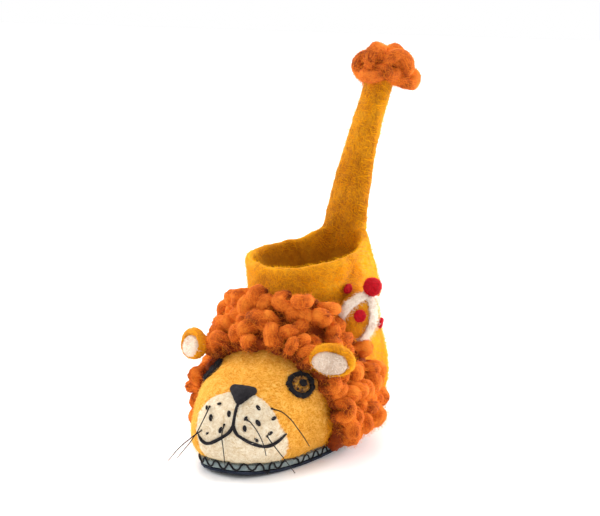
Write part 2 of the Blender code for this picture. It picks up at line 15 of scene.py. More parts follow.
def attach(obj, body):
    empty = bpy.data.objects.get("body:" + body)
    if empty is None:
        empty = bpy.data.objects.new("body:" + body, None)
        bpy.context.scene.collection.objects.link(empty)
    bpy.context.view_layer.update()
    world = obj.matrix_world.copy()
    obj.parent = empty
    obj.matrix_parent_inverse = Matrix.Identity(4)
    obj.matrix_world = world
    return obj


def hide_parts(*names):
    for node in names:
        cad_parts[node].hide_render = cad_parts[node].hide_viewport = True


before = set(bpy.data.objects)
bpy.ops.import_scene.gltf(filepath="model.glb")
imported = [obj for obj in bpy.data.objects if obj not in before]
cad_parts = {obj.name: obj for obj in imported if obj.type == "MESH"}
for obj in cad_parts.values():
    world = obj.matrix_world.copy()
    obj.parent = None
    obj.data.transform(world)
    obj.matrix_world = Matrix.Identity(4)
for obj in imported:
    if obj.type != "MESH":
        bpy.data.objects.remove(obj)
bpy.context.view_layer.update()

MM = 0.001
UP = Vector((0, 0, 1))

# Where the photographer stood, round the shoe and above the floor.
VIEW_TURN = math.radians(26.5)
VIEW_RISE = math.radians(15)
VIEW_AIM = Vector((0, 0, 0.06))
VIEW_DISTANCE = 1.1
VIEW_RIGHT = Vector((math.cos(VIEW_TURN), math.sin(VIEW_TURN), 0))
VIEW_AWAY = Vector((-math.sin(VIEW_TURN), math.cos(VIEW_TURN), 0))
# The lens in pixels of a frame that is 600 wide, and the film's width in millimetres.
FOCAL_PIXELS = 1600
FRAME_PIXELS = 600
FILM_WIDTH = 36

# The face: its middle line lies a little to the outer side of the toe.
FACE_MIDDLE = 0.0064
# The cream muzzle: at each height, its reach toward the outer side and toward the inner side.
MUZZLE_EDGE = (
    (0.0040, 0.0150, 0.0200),
    (0.0100, 0.0200, 0.0240),
    (0.0140, 0.0235, 0.0252),
    (0.0215, 0.0262, 0.0262),
    (0.0305, 0.0253, 0.0276),
    (0.0395, 0.0226, 0.0282),
    (0.0440, 0.0208, 0.0264),
    (0.0475, 0.0188, 0.0240),
    (0.0505, 0.0160, 0.0210),
    (0.0530, 0.0126, 0.0165),
    (0.0548, 0.0090, 0.0115),
    (0.0562, 0.0040, 0.0050),
    (0.0570, 0.0010, 0.0010),
)
MUZZLE_TOP = 0.0562
MUZZLE_BACK = -0.058
# The paler face ends at FACE_BACK, further forward the higher it is.
FACE_BACK = -0.034
FACE_SLANT = 0.15
FACE_TOP = 0.085
# The stitched lips: the stem's heights, then each side's places across and up the face.
LIP_STEM = (0.0512, 0.0474, 0.0430, 0.0377)
SMILE = (
    (0.0000, 0.0377),
    (0.0022, 0.0335),
    (0.0057, 0.0305),
    (0.0123, 0.0262),
    (0.0164, 0.0242),
    (0.0197, 0.0238),
    (0.0228, 0.0256),
    (0.0258, 0.0294),
)
# Each freckle: its place across and up the face, its turn and its size.
FRECKLES = (
    (0.0125, 0.0484, 0.5, 1.0),
    (0.0208, 0.0410, -1.2, 1.0),
    (0.0140, 0.0394, 0.5, 1.2),
    (0.0072, 0.0362, 0.1, 1.1),
    (0.0198, 0.0318, -1.2, 0.95),
    (0.0137, 0.0286, 0.7, 0.9),
    (0.0070, 0.0424, -0.6, 0.8),
    (-0.0130, 0.0489, -1.2, 0.8),
    (-0.0042, 0.0443, 0.2, 1.1),
    (-0.0167, 0.0404, 0.1, 1.15),
    (-0.0084, 0.0340, -0.3, 1.1),
    (-0.0217, 0.0455, 0.5, 0.8),
    (-0.0181, 0.0305, -0.9, 0.8),
)

EYES = (("outer", Vector((0.0335, -0.0570, 0.0575))), ("inner", Vector((-0.0345, -0.0535, 0.0580))))
EARS = (Vector((0.0475, -0.041, 0.0712)), Vector((-0.052, -0.046, 0.072)))
CROWN = Vector((0.041, 0.010, 0.0895))

# Half the thickness of each yarn, thread and knot.
MANE_YARN = 0.0042
TUFT_YARN = 0.0045
SOLE_THREAD = 0.00062
LIP_YARN = 0.00105
EYE_YARN = 0.0017
EYE_THREAD = 0.00048
WHISKER = 0.00038
WHISKER_KNOT = 0.0008


# Hand tools


def smooth(low, high, value):
    share = min(1.0, max(0.0, (value - low) / (high - low)))
    return share * share * (3 - 2 * share)


def put_down():
    """Leaves edit mode and lets go of everything."""
    if bpy.context.object and bpy.context.object.mode != "OBJECT":
        bpy.ops.object.mode_set(mode="OBJECT")
    bpy.ops.object.select_all(action="DESELECT")


def pick_up(piece):
    put_down()
    piece.select_set(True)
    bpy.context.view_layer.objects.active = piece


def open_mesh(piece):
    pick_up(piece)
    bpy.ops.object.mode_set(mode="EDIT")
    bpy.ops.mesh.select_all(action="SELECT")


def add_step(piece, kind, **settings):
    pick_up(piece)
    bpy.ops.object.modifier_add(type=kind)
    step = piece.modifiers[-1]
    for setting, value in settings.items():
        setattr(step, setting, value)


def apply_steps(piece):
    pick_up(piece)
    for step in list(piece.modifiers):
        bpy.ops.object.modifier_apply(modifier=step.name)


def set_in_place(piece):
    pick_up(piece)
    bpy.ops.object.transform_apply(location=True, rotation=True, scale=True)


def join(pieces, name):
    put_down()
    for piece in pieces:
        piece.select_set(True)
    bpy.context.view_layer.objects.active = pieces[0]
    bpy.ops.object.join()
    pieces[0].name = name
    return pieces[0]


def copy_solid(node, name):
    """A piece that starts as a copy of a measured solid, with its loose triangles joined up."""
    piece = bpy.data.objects.new(name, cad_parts[node].data.copy())
    bpy.context.scene.collection.objects.link(piece)
    open_mesh(piece)
    bpy.ops.mesh.remove_doubles(threshold=0.00002)
    put_down()
    return piece


def swell(piece, thickness):
    """Moves a piece's whole surface out, or in where the thickness is below zero."""
    add_step(piece, "DISPLACE", strength=thickness, mid_level=0.0)


def add_lumps(piece, ending, size, height, depth=2):
    """Pushes a piece's surface in and out a little, as wool is never even."""
    lumps = bpy.data.textures.new(piece.name + ending, "CLOUDS")
    lumps.noise_scale = size
    lumps.noise_depth = depth
    add_step(piece, "DISPLACE", texture=lumps, texture_coords="LOCAL", strength=height, mid_level=0.5)


def matt(piece, cell, rounds, lumps, nap):
    """Felts a piece: an even skin, softened edges, low lumps and a fine nap, each a size and a height."""
    add_step(piece, "REMESH", mode="VOXEL", voxel_size=cell)
    add_step(piece, "SMOOTH", factor=0.5, iterations=rounds)
    add_lumps(piece, "_lumps", *lumps)
    add_lumps(piece, "_nap", *nap, depth=1)
    apply_steps(piece)
    pick_up(piece)
    bpy.ops.object.shade_smooth()


def draw_yarn(name, points, thickness, around=3, along=4, radii=None):
    """A length of yarn through the points, as a closed tube with its own lengthwise map."""
    put_down()
    bpy.ops.curve.primitive_bezier_curve_add(location=(0, 0, 0))
    line = bpy.context.object
    line.name = name
    line.data.dimensions = "3D"
    path = line.data.splines[0]
    path.bezier_points.add(len(points) - 2)
    for spot, place in zip(path.bezier_points, points):
        spot.co = place
        spot.handle_left_type = spot.handle_right_type = "AUTO"
    if radii:
        for spot, share in zip(path.bezier_points, radii):
            spot.radius = share
    line.data.bevel_depth = thickness
    line.data.bevel_resolution = around
    line.data.resolution_u = along
    line.data.use_fill_caps = True
    pick_up(line)
    bpy.ops.object.convert(target="MESH")
    tube = bpy.context.object
    tube.name = name
    open_mesh(tube)
    bpy.ops.mesh.remove_doubles(threshold=0.000005)
    bpy.ops.mesh.normals_make_consistent(inside=False)
    put_down()
    pick_up(tube)
    bpy.ops.object.shade_smooth()
    return tube


def press_ball(name, segments, rings, radius, shares):
    """A ball pressed to another shape, modelled on the floor."""
    put_down()
    bpy.ops.mesh.primitive_uv_sphere_add(segments=segments, ring_count=rings, radius=radius)
    ball = bpy.context.object
    ball.name = name
    open_mesh(ball)
    bpy.ops.transform.resize(value=shares)
    put_down()
    return ball


def copy_to(source, places):
    """Copies a modelled piece to each place, every copy with its own mesh."""
    copies = []
    for place in places:
        pick_up(source)
        bpy.ops.object.duplicate()
        made = bpy.context.object
        made.matrix_world = place
        copies.append(made)
    return copies


def skin_of(*nodes):
    """The surface of measured solids, for setting things down on."""
    corners = []
    faces = []
    for node in nodes:
        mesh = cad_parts[node].data
        start = len(corners)
        corners += [v.co.copy() for v in mesh.vertices]
        faces += [tuple(start + k for k in face.vertices) for face in mesh.polygons]
    return BVHTree.FromPolygons(corners, faces)


boot_skin = skin_of("upper")


def on_face(across, height, lift):
    """The spot on the toe at a distance off the face's middle line, seen from straight in front."""
    start = Vector((FACE_MIDDLE + across, -0.2, height))
    spot, out, _, _ = boot_skin.ray_cast(start, Vector((0, 1, 0)))
    return spot + out * lift, out


def lie_of_boot(about):
    """Which way the boot faces at a place, and what is across and up it there."""
    _, out, _, _ = boot_skin.find_nearest(about)
    across = UP.cross(out).normalized()
    return out, across, out.cross(across)


def stand_on(spot, out, spin=0.0, size=1.0):
    """The place of a piece modelled on the floor, stood on a surface facing out."""
    turn = out.to_track_quat("Z", "Y").to_matrix().to_4x4()
    return Matrix.Translation(spot) @ turn @ Matrix.Rotation(spin, 4, "Z") @ Matrix.Scale(size, 4)


# Finishes


def new_finish(name):
    finish = bpy.data.materials.new(name)
    finish.use_nodes = True
    nodes = finish.node_tree.nodes
    shader = nodes["Principled BSDF"]
    shader.inputs["Specular IOR Level"].default_value = 0.12
    return finish, finish.node_tree, shader


def node(tree, kind, **settings):
    made = tree.nodes.new(kind)
    for setting, value in settings.items():
        setattr(made, setting, value)
    return made


def grain(tree, where, scale, detail, rough, warp):
    made = node(tree, "ShaderNodeTexNoise")
    made.inputs["Scale"].default_value = scale
    made.inputs["Detail"].default_value = detail
    made.inputs["Roughness"].default_value = rough
    made.inputs["Distortion"].default_value = warp
    tree.links.new(where, made.inputs["Vector"])
    return made.outputs["Fac"]


def ramp(tree, value, stops):
    made = node(tree, "ShaderNodeValToRGB")
    bands = made.color_ramp.elements
    while len(bands) < len(stops):
        bands.new(0.5)
    for band, (at, colour) in zip(bands, stops):
        band.position = at
        band.color = (*colour, 1)
    tree.links.new(value, made.inputs["Fac"])
    return made.outputs["Color"]


def fade(tree, value, low, high):
    made = node(tree, "ShaderNodeMapRange", interpolation_type="SMOOTHSTEP")
    made.inputs["From Min"].default_value = low
    made.inputs["From Max"].default_value = high
    tree.links.new(value, made.inputs["Value"])
    return made.outputs["Result"]


def blend(tree, share, first, second):
    made = node(tree, "ShaderNodeMix", data_type="RGBA")
    if isinstance(share, float):
        made.inputs[0].default_value = share
    else:
        tree.links.new(share, made.inputs[0])
    for socket, colour in ((made.inputs[6], first), (made.inputs[7], second)):
        if isinstance(colour, tuple):
            socket.default_value = (*colour, 1)
        else:
            tree.links.new(colour, socket)
    return made.outputs[2]


def sums(tree, way, first, second):
    made = node(tree, "ShaderNodeMath", operation=way)
    for socket, value in zip(made.inputs, (first, second)):
        if isinstance(value, float):
            socket.default_value = value
        else:
            tree.links.new(value, socket)
    return made.outputs[0]


def raise_nap(tree, shader, *heights):
    """Bumps laid over each other, each a height with its depth in metres and its strength."""
    below = None
    for height, depth, strength in heights:
        made = node(tree, "ShaderNodeBump")
        made.inputs["Strength"].default_value = strength
        made.inputs["Distance"].default_value = depth
        tree.links.new(height, made.inputs["Height"])
        if below:
            tree.links.new(below, made.inputs["Normal"])
        below = made.outputs["Normal"]
    tree.links.new(below, shader.inputs["Normal"])


def paler(colour):
    return tuple(min(1.0, c * 1.3 + 0.04) for c in colour)


def soften(shader, sheen, tint, rough=0.5):
    shader.inputs["Sheen Weight"].default_value = sheen
    shader.inputs["Sheen Tint"].default_value = (*tint, 1)
    shader.inputs["Sheen Roughness"].default_value = rough


def matted_wool(tree, light, main, deep, coarse=1.0):
    """Wet-felted wool seen close: cloudy patches, swirling fibres and a few dark hairs."""
    where = node(tree, "ShaderNodeTexCoord").outputs["Object"]
    clouds = grain(tree, where, scale=55 * coarse, detail=5, rough=0.62, warp=0.4)
    swirls = grain(tree, where, scale=300 * coarse, detail=7, rough=0.72, warp=1.6)
    hairs = grain(tree, where, scale=640 * coarse, detail=4, rough=0.7, warp=2.2)
    patches = ramp(tree, clouds, ((0.38, deep), (0.50, main), (0.62, light)))
    fibres = ramp(tree, swirls, ((0.36, deep), (0.51, main), (0.64, light)))
    colour = blend(tree, 0.5, patches, fibres)
    dark = sums(tree, "MULTIPLY", fade(tree, hairs, 0.46, 0.32), 0.45)
    colour = blend(tree, dark, colour, tuple(c * 0.55 for c in deep))
    return colour, (clouds, swirls, hairs)


def lay_felt(tree, shader, colour, grains, nap):
    """Gives felt its colour, with the roughness and relief of its own fibres."""
    clouds, swirls, hairs = grains
    tree.links.new(colour, shader.inputs["Base Color"])
    tree.links.new(fade(tree, swirls, -0.6, 0.9), shader.inputs["Roughness"])
    raise_nap(
        tree,
        shader,
        (clouds, 0.0016 * nap, 0.35),
        (swirls, 0.0007 * nap, 0.55),
        (hairs, 0.0003 * nap, 0.6),
    )


def felt(name, light, main, deep, sheen=0.2, coarse=1.0, nap=1.0):
    finish, tree, shader = new_finish(name)
    colour, grains = matted_wool(tree, light, main, deep, coarse)
    lay_felt(tree, shader, colour, grains, nap)
    soften(shader, sheen, paler(light))
    return finish


def upright_fibres(tree):
    """Dark fibres that run up the tail."""
    spots = node(tree, "ShaderNodeTexCoord")
    stretch = node(tree, "ShaderNodeMapping")
    stretch.inputs["Scale"].default_value = (1, 1, 0.16)
    stretch.inputs["Rotation"].default_value = (-0.2, 0.12, 0)
    tree.links.new(spots.outputs["Object"], stretch.inputs["Vector"])
    fibres = grain(tree, stretch.outputs["Vector"], scale=420, detail=5, rough=0.65, warp=0.8)
    return fade(tree, fibres, 0.50, 0.66)


def boot_felt():
    """Golden felt that turns paler over the face and cream over the muzzle."""
    finish, tree, shader = new_finish("golden boot felt")
    gold, grains = matted_wool(tree, (0.76, 0.350, 0.011), (0.61, 0.228, 0.005), (0.34, 0.102, 0.002))
    _, swirls, _ = grains
    face = ramp(
        tree,
        swirls,
        ((0.38, (0.52, 0.190, 0.009)), (0.51, (0.68, 0.300, 0.028)), (0.62, (0.84, 0.47, 0.110))),
    )
    cream = ramp(
        tree,
        swirls,
        ((0.36, (0.54, 0.39, 0.22)), (0.50, (0.68, 0.56, 0.39)), (0.62, (0.78, 0.70, 0.55))),
    )
    ragged = sums(tree, "MULTIPLY", sums(tree, "SUBTRACT", swirls, 0.5), 0.9)
    for area, shade in (("face", face), ("muzzle", cream)):
        paint = node(tree, "ShaderNodeAttribute", attribute_name=area).outputs["Fac"]
        share = fade(tree, sums(tree, "ADD", paint, ragged), 0.36, 0.66)
        gold = blend(tree, share, gold, shade)
    # Darker fibres up the tail, and painted shade inside the boot that deepens toward the bottom.
    for area, strength, dark in (("tail", 0.5, (0.25, 0.070, 0.002)), ("painted_inside_shade", 0.4, (0.27, 0.095, 0.002))):
        share = node(tree, "ShaderNodeAttribute", attribute_name=area).outputs["Fac"]
        if area == "tail":
            share = sums(tree, "MULTIPLY", share, sums(tree, "ADD", upright_fibres(tree), 0.5))
        gold = blend(tree, sums(tree, "MULTIPLY", share, strength), gold, dark)
    lay_felt(tree, shader, gold, grains, nap=1.0)
    soften(shader, 0.6, (1.0, 0.66, 0.06), rough=0.3)
    return finish


def loose_fibre(name, colour, share=0.4):
    """Single fibres that let a share of the light through."""
    finish, tree, shader = new_finish(name)
    shader.inputs["Base Color"].default_value = (*colour, 1)
    shader.inputs["Roughness"].default_value = 1.0
    shader.inputs["Specular IOR Level"].default_value = 0.0
    through = node(tree, "ShaderNodeBsdfTranslucent")
    through.inputs["Color"].default_value = (*colour, 1)
    both = node(tree, "ShaderNodeMixShader")
    both.inputs["Fac"].default_value = share
    tree.links.new(shader.outputs["BSDF"], both.inputs[1])
    tree.links.new(through.outputs["BSDF"], both.inputs[2])
    tree.links.new(both.outputs["Shader"], tree.nodes["Material Output"].inputs["Surface"])
    return finish


def roving(name, light, main, deep, along=34.0):
    """Loosely spun wool: fibres that run the length of the yarn with a slight twist."""
    finish, tree, shader = new_finish(name)
    spots = node(tree, "ShaderNodeTexCoord")
    stretch = node(tree, "ShaderNodeMapping")
    stretch.inputs["Scale"].default_value = (2.4, along, 1)
    stretch.inputs["Rotation"].default_value = (0, 0, 0.10)
    tree.links.new(spots.outputs["UV"], stretch.inputs["Vector"])
    lengthwise = grain(tree, stretch.outputs["Vector"], scale=1.0, detail=6, rough=0.70, warp=1.4)
    lengthwise = fade(tree, lengthwise, 0.25, 0.75)
    each = grain(tree, spots.outputs["Object"], scale=80, detail=2, rough=0.5, warp=0.5)
    fuzz = grain(tree, spots.outputs["Object"], scale=520, detail=6, rough=0.75, warp=1.8)
    tone = sums(tree, "ADD", sums(tree, "MULTIPLY", each, 0.75), sums(tree, "MULTIPLY", lengthwise, 0.16))
    tone = sums(tree, "ADD", tone, sums(tree, "MULTIPLY", fuzz, 0.52))
    # Painted shade: the yarn turns darker deep in the wool, near the boot or the tuft's heart.
    standoff = node(tree, "ShaderNodeAttribute", attribute_name="standoff").outputs["Fac"]
    tone = sums(tree, "SUBTRACT", tone, sums(tree, "MULTIPLY", fade(tree, standoff, 1.0, 0.0), 0.34))
    colour = ramp(tree, tone, ((0.50, deep), (0.68, main), (0.90, light)))
    tree.links.new(colour, shader.inputs["Base Color"])
    shader.inputs["Roughness"].default_value = 0.9
    soften(shader, 0.22, paler(light))
    raise_nap(tree, shader, (lengthwise, 0.0005, 0.35), (fuzz, 0.0009, 0.7))
    return finish


def dress(piece, finish, slot, *nodes):
    """Gives a piece its finish, and has it ride on the shoe in place of its solids."""
    piece.data.materials.clear()
    piece.data.materials.append(finish)
    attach(piece, "root")
    if nodes:
        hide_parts(*nodes)
    return piece


gold_felt = boot_felt()
ear_felt = felt("golden ear felt", (0.74, 0.33, 0.014), (0.62, 0.23, 0.006), (0.36, 0.115, 0.003), nap=0.7)
pale_felt = felt("pale ear felt", (0.74, 0.60, 0.47), (0.62, 0.47, 0.36), (0.40, 0.27, 0.19), nap=0.7)
white_wool = felt("white band wool", (0.88, 0.80, 0.70), (0.78, 0.67, 0.56), (0.52, 0.38, 0.28), coarse=1.4)
red_felt = felt("red bobble felt", (0.56, 0.012, 0.024), (0.42, 0.005, 0.012), (0.22, 0.002, 0.006))
black_wool = felt(
    "black felted wool", (0.03, 0.027, 0.03), (0.015, 0.013, 0.015), (0.007, 0.006, 0.007), sheen=0.1
)
iris_wool = felt(
    "brown iris wool", (0.52, 0.27, 0.085), (0.40, 0.18, 0.045), (0.16, 0.065, 0.015), sheen=0.1
)
grey_felt = felt("grey sole felt", (0.34, 0.39, 0.38), (0.24, 0.29, 0.29), (0.13, 0.17, 0.18), nap=0.8)
dark_suede = felt(
    "navy suede", (0.035, 0.043, 0.07), (0.020, 0.027, 0.046), (0.010, 0.013, 0.024), sheen=0.1, coarse=1.5
)
mane_wool = roving("russet mane roving", (0.82, 0.240, 0.026), (0.54, 0.098, 0.008), (0.14, 0.016, 0.002))
# The pad under the loops: russet wool painted dark as the shade that falls between the loops.
under_mane_shade_wool = felt("under-mane wool in painted shade", (0.30, 0.052, 0.005), (0.18, 0.026, 0.003), (0.07, 0.009, 0.002))
tuft_wool = roving(
    "russet tuft roving", (0.84, 0.25, 0.034), (0.58, 0.115, 0.013), (0.16, 0.02, 0.004), along=20.0
)
gold_fibre = loose_fibre("loose golden fibres", (0.88, 0.45, 0.010), share=0.65)
face_fibre = loose_fibre("loose face fibres", (0.90, 0.54, 0.12))
pale_fibre = loose_fibre("loose pale fibres", (0.86, 0.76, 0.60))
russet_fibre = loose_fibre("loose russet fibres", (0.85, 0.26, 0.03), share=0.3)
white_fibre = loose_fibre("loose white fibres", (0.92, 0.86, 0.78))
red_fibre = loose_fibre("loose red fibres", (0.60, 0.012, 0.024))
black_fibre = loose_fibre("loose black fibres", (0.025, 0.022, 0.025))


# The boot and its tail


def crease_pull(places, path, width, depth):
    """How far each place is pushed by a soft trough or ridge drawn along a path."""
    nearest = np.full(len(places), 1.0)
    for start, end in zip(path[:-1], path[1:]):
        start, end = np.array(start), np.array(end)
        along = end - start
        share = np.clip((places - start) @ along / (along @ along), 0, 1)
        gap = np.linalg.norm(places - start - share[:, None] * along, axis=1)
        nearest = np.minimum(nearest, gap)
    return depth * np.exp(-((nearest / width) ** 2))


# Each crease's path over the felt, its width and its depth, which is above zero for a ridge.
CREASES = (
    (((-0.034, -0.008, 0.106), (-0.012, -0.022, 0.100), (0.014, -0.022, 0.097)), 0.0060, -0.0016),
    (((0.016, -0.021, 0.120), (0.022, -0.019, 0.108), (0.020, -0.021, 0.096)), 0.0060, -0.0014),
    (((0.041, 0.012, 0.121), (0.040, 0.004, 0.110), (0.034, -0.008, 0.100)), 0.0065, -0.0016),
    (((0.030, -0.012, 0.114), (0.038, 0.000, 0.112), (0.043, 0.016, 0.106)), 0.0060, 0.0010),
    (((0.045, 0.034, 0.082), (0.045, 0.054, 0.076), (0.040, 0.074, 0.074)), 0.0075, -0.0022),
    (((0.044, 0.040, 0.060), (0.043, 0.062, 0.056), (0.036, 0.082, 0.058)), 0.0085, 0.0012),
    (((-0.045, 0.024, 0.084), (-0.045, 0.046, 0.078), (-0.039, 0.070, 0.075)), 0.0075, -0.0022),
    (((-0.044, 0.036, 0.062), (-0.042, 0.060, 0.058), (-0.034, 0.082, 0.060)), 0.0085, 0.0012),
    (((-0.020, 0.083, 0.076), (0.004, 0.088, 0.072), (0.024, 0.082, 0.075)), 0.0080, -0.0018),
    (((-0.040, 0.062, 0.118), (-0.044, 0.046, 0.108), (-0.046, 0.030, 0.104)), 0.0065, -0.0013),
    (((0.004, 0.098, 0.150), (0.005, 0.094, 0.142), (0.004, 0.091, 0.132)), 0.0050, -0.0012),
    (((-0.014, 0.086, 0.130), (0.004, 0.090, 0.128), (0.022, 0.084, 0.130)), 0.0060, 0.0012),
)

ROLL_THICK = 0.0008
ROLL_WIDE = 0.0055
RIM_LOW = 0.115
RIM_HIGH = 0.150

# A line inside the boot from the toe to the heel, which the creases push away from.
SPINE_TOE = -0.055
SPINE_HEEL = 0.045
SPINE_HEIGHT = 0.028
LEG_FRONT = -0.02


def rim_roll(places):
    """How far the felt swells along the collar's rim, which was rolled over by hand."""
    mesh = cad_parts["upper"].data
    crest = []
    for face in mesh.polygons:
        if face.normal.z > 0.75 and RIM_LOW < face.center.z < RIM_HIGH:
            crest.append(tuple(face.center))
    nearest = np.full(len(places), 1.0)
    for spot in crest:
        nearest = np.minimum(nearest, np.linalg.norm(places - np.array(spot), axis=1))
    return ROLL_THICK * np.exp(-((nearest / ROLL_WIDE) ** 2))


def away_from_spine(places):
    """Which way each place lies from the line inside the boot, which rises with the leg."""
    spine = places.copy()
    spine[:, 0] *= 0.1
    spine[:, 1] = np.clip(places[:, 1], SPINE_TOE, SPINE_HEEL)
    leg = places[:, 2] * (places[:, 1] > LEG_FRONT)
    spine[:, 2] = np.minimum(places[:, 2], np.maximum(SPINE_HEIGHT, leg))
    away = places - spine
    return away / np.maximum(np.linalg.norm(away, axis=1), MM)[:, None]


def read_mesh(mesh, what):
    values = np.empty(len(mesh.vertices) * 3)
    mesh.vertices.foreach_get(what, values)
    return values.reshape(-1, 3)


def model_boot():
    boot = copy_solid("upper", "felt_boot")
    matt(boot, cell=0.0017, rounds=12, lumps=(0.016, 0.0024), nap=(0.0042, 0.0007))
    mesh = boot.data
    places = read_mesh(mesh, "co")
    facing = read_mesh(mesh, "normal")
    away = away_from_spine(places)
    push = sum(crease_pull(places, *crease) for crease in CREASES)
    inside = (facing * away).sum(axis=1) < -0.1
    places += away * push[:, None] + facing * rim_roll(places)[:, None]
    mesh.vertices.foreach_set("co", places.ravel())
    mesh.update()
    paint_boot(mesh, places, inside)
    return dress(boot, gold_felt, "golden_felt", "upper")


TAIL_ROOT = 0.132
# Painted shade darkens the inside of the boot below this height.
PAINTED_SHADE_TOP = 0.126
# How far each area's edge fades.
MUZZLE_FADE = 0.0030
MUZZLE_TOP_FADE = 0.0016
FACE_FADE = 0.010
TAIL_FADE = 0.02
PAINTED_SHADE_FADE = 0.012


def paint_boot(mesh, places, inside):
    """Marks where the felt is cream or pale, where it darkens up the tail, and the painted shade inside."""
    across = places[:, 0] - FACE_MIDDLE
    height = places[:, 2]
    heights, outer, inner = zip(*MUZZLE_EDGE)
    edge = np.where(across > 0, np.interp(height, heights, outer), np.interp(height, heights, inner))
    muzzle = np.clip(0.5 + (edge - np.abs(across)) / MUZZLE_FADE, 0, 1)
    muzzle *= np.clip(0.5 + (MUZZLE_TOP - height) / MUZZLE_TOP_FADE, 0, 1)
    muzzle *= places[:, 1] < MUZZLE_BACK
    face = np.clip(0.5 + (FACE_BACK - places[:, 1] - FACE_SLANT * height) / FACE_FADE, 0, 1)
    face *= height < FACE_TOP
    tail = np.clip((height - TAIL_ROOT) / TAIL_FADE, 0, 1)
    # Painted shade on the inside of the boot, darker the lower it lies.
    painted_inside_shade = inside * np.clip((PAINTED_SHADE_TOP - height) / PAINTED_SHADE_FADE, 0, 1)
    areas = {"muzzle": muzzle, "face": face, "tail": tail, "painted_inside_shade": painted_inside_shade}
    areas["face_or_painted_inside_shade"] = np.maximum(face, painted_inside_shade)
    areas["off_face"] = 1 - face * (1 - muzzle)
    areas["off_muzzle"] = 1 - muzzle
    for name, values in areas.items():
        paint = mesh.attributes.new(name, "FLOAT", "POINT")
        paint.data.foreach_set("value", values.astype(np.float32))


# The sole


STITCH_STEP = 0.0048
# The stitches' two rows, and the height that their spacing is taken at.
STITCH_ROWS = (0.0074, 0.0022)
STITCH_MIDDLE = 0.0045
LOOKS_ROUND = 720
TOE_REACH = 0.106
TOE_SPRING = 0.004
SPRING_START = 0.052
SPRING_END = 0.105
LAYERS = (("midsole", grey_felt, "grey_felt"), ("insole", pale_felt, "pale_felt"))


def model_soles():
    for node_name, finish, slot in LAYERS:
        layer = copy_solid(node_name, "felt_" + node_name)
        matt(layer, cell=0.0011, rounds=2, lumps=(0.009, 0.0005), nap=(0.002, 0.0002))
        dress(layer, finish, slot, node_name)
    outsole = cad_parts["outsole"]
    for slot in outsole.material_slots:
        slot.material = dark_suede


def rim_spot(skin, turn, height):
    """Where the sole's edge is at a turn about its middle, found by looking in from outside."""
    middle = Vector((0, -0.05 * math.cos(turn), height))
    toward = Vector((-math.sin(turn), math.cos(turn), 0))
    spot, out, _, _ = skin.ray_cast(middle - toward * 0.2, toward)
    return spot, out


def toe_lift(y):
    """How far the sole curves up off the floor toward the toe."""
    return TOE_SPRING * smooth(SPRING_START, SPRING_END, -y)


def model_sole_stitching():
    """Black thread that goes zigzag over the sole's felt edge, all the way round."""
    skin = skin_of("midsole", "outsole", "upper")
    points = []
    last = None
    for k in range(LOOKS_ROUND):
        turn = 2 * math.pi * k / LOOKS_ROUND
        near = toe_lift(-TOE_REACH * max(0.0, math.cos(turn)))
        spot, _ = rim_spot(skin, turn, STITCH_MIDDLE + near)
        if not spot or (last and (spot - last).length < STITCH_STEP):
            continue
        height = STITCH_ROWS[len(points) % 2] + toe_lift(spot.y)
        place, out = rim_spot(skin, turn, height)
        if place:
            last = spot
            points.append(place + out * 0.0003)
    points.append(points[0])
    thread = draw_yarn("sole_stitching", points, SOLE_THREAD, around=1, along=3)
    dress(thread, black_wool, "black_felt")


# The face


def model_nose():
    nose = copy_solid("nose", "felt_nose")
    swell(nose, 0.0004)
    matt(nose, cell=0.00045, rounds=4, lumps=(0.003, 0.0005), nap=(0.0012, 0.0002))
    dress(nose, black_wool, "black_felt", "nose")


LIP_LIFT = 0.0004


def model_smile():
    stem = [on_face(0.0, height, LIP_LIFT)[0] for height in LIP_STEM]
    lines = [draw_yarn("lip_stem", stem, LIP_YARN, radii=(0.8, 1.0, 0.9, 1.05))]
    widths = (1.0, 1.1, 0.95, 1.15, 0.95, 1.1, 1.0, 0.55)
    for side in (1, -1):
        path = [on_face(side * across, height, LIP_LIFT)[0] for across, height in SMILE]
        lines.append(draw_yarn("lip_side", path, LIP_YARN, radii=widths))
    smile = join(lines, "stitched_smile")
    dress(smile, black_wool, "black_felt")


def model_freckles():
    """One short stitch, modelled once, then set all over the muzzle."""
    stitch = press_ball("freckle", segments=10, rings=7, radius=0.0010, shares=(1.25, 2.1, 0.85))
    places = []
    for across, height, spin, size in FRECKLES:
        spot, out = on_face(across, height, 0.0001)
        places.append(stand_on(spot, out, spin, size))
    stitches = copy_to(stitch, places)
    bpy.data.objects.remove(stitch)
    freckles = join(stitches, "muzzle_freckles")
    set_in_place(freckles)
    pick_up(freckles)
    bpy.ops.object.shade_smooth()
    dress(freckles, black_wool, "black_felt")


# The ring round an eye: half its width and height, its lift off the boot and how uneven it is.
RING_WIDE = 0.0096
RING_HIGH = 0.0079
RING_LIFT = 0.0006
RING_WOBBLE = 0.035
RING_POINTS = 22
# Both pupils look a little to the outer side and up, and short stitches stand round them.
PUPIL_OFF = Vector((0.0007, 0, 0.0005))
PUPIL_LIFT = 0.0010
TICKS = 13
TICK_STARTS = (0.0036, 0.0044)
TICK_MIDDLE = 0.0052
TICK_END = 0.0068
TICK_LIFT = 0.0013


def eye_ring_points(about):
    """Points of a hand-made ring laid on the boot about an eye."""
    chance = random.Random(3)
    _, across, up = lie_of_boot(about)
    points = []
    for step in range(RING_POINTS):
        turn = 2 * math.pi * step / RING_POINTS
        reach = 1 + chance.uniform(-RING_WOBBLE, RING_WOBBLE)
        guess = about + across * math.cos(turn) * RING_WIDE * reach
        guess += up * math.sin(turn) * RING_HIGH * reach
        spot, normal, _, _ = boot_skin.find_nearest(guess)
        points.append(spot + normal * RING_LIFT)
    return points


